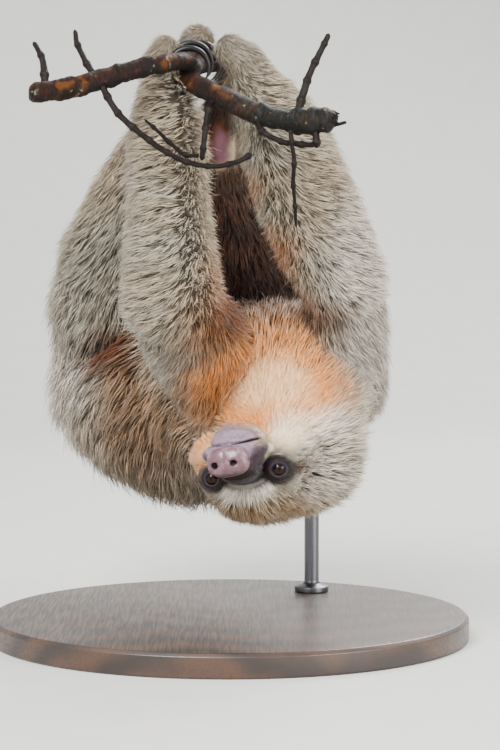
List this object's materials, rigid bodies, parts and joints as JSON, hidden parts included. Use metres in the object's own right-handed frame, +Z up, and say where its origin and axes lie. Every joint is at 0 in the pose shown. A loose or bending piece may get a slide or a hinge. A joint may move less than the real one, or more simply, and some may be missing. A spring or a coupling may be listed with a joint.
{
  "type": "two-toed sloth",
  "caption": "Life-size still model of a young two-toed sloth hanging belly up from a forked branch, head thrown back, on a round base with a rod.",
  "frame": {"origin": "centre of the underside of the round display base", "axes": "+Z up; -Y the way the animal faces; +X towards the animal's own right side, because it hangs belly up"},
  "size_m": [0.28, 0.3179, 0.3584],
  "materials": {
    "coat_limbs": "long grey-tan fur",
    "coat_body": "long tan to orange-brown fur",
    "coat_face": "short cream and orange fur",
    "bare_skin": "bare, slightly moist pink-mauve skin",
    "eye": "polished, wet",
    "claw_horn": "worn gloss horn",
    "bark": "rough bark with pale lichen",
    "stand_wood": "satin lacquer",
    "stand_steel": "satin black"
  },
  "bodies": {
    "root": {"arm_left_fore": "coat_limbs", "arm_left_upper": "coat_limbs", "arm_right_fore": "coat_limbs", "arm_right_upper": "coat_limbs", "belly": "coat_body", "chest": "coat_body", "ear_left": "coat_face", "ear_right": "coat_face", "eye_left": "eye", "eye_right": "eye", "foot_left": "coat_limbs", "foot_left_claw_1": "claw_horn", "foot_left_claw_2": "claw_horn", "foot_left_claw_3": "claw_horn", "foot_right": "coat_limbs", "foot_right_claw_1": "claw_horn", "foot_right_claw_2": "claw_horn", "foot_right_claw_3": "claw_horn", "hand_left": "coat_limbs", "hand_left_claw_1": "claw_horn", "hand_left_claw_2": "claw_horn", "hand_right": "coat_limbs", "hand_right_claw_1": "claw_horn", "hand_right_claw_2": "claw_horn", "head": "coat_face", "leg_left_shank": "coat_limbs", "leg_left_thigh": "coat_limbs", "leg_right_shank": "coat_limbs", "leg_right_thigh": "coat_limbs", "neck": "coat_body", "nose": "bare_skin", "perch_branch": "bark", "perch_side_branch": "bark", "perch_twig_drop": "bark", "perch_twig_end": "bark", "perch_twig_fork": "bark", "perch_twig_hook": "bark", "perch_twig_long": "bark", "perch_twig_spur": "bark", "perch_twig_stub": "bark", "perch_twig_tail": "bark", "perch_twig_upper": "bark", "stand_base": "stand_wood", "stand_cup": "stand_steel", "stand_rod": "stand_steel"}
  },
  "joints": []
}
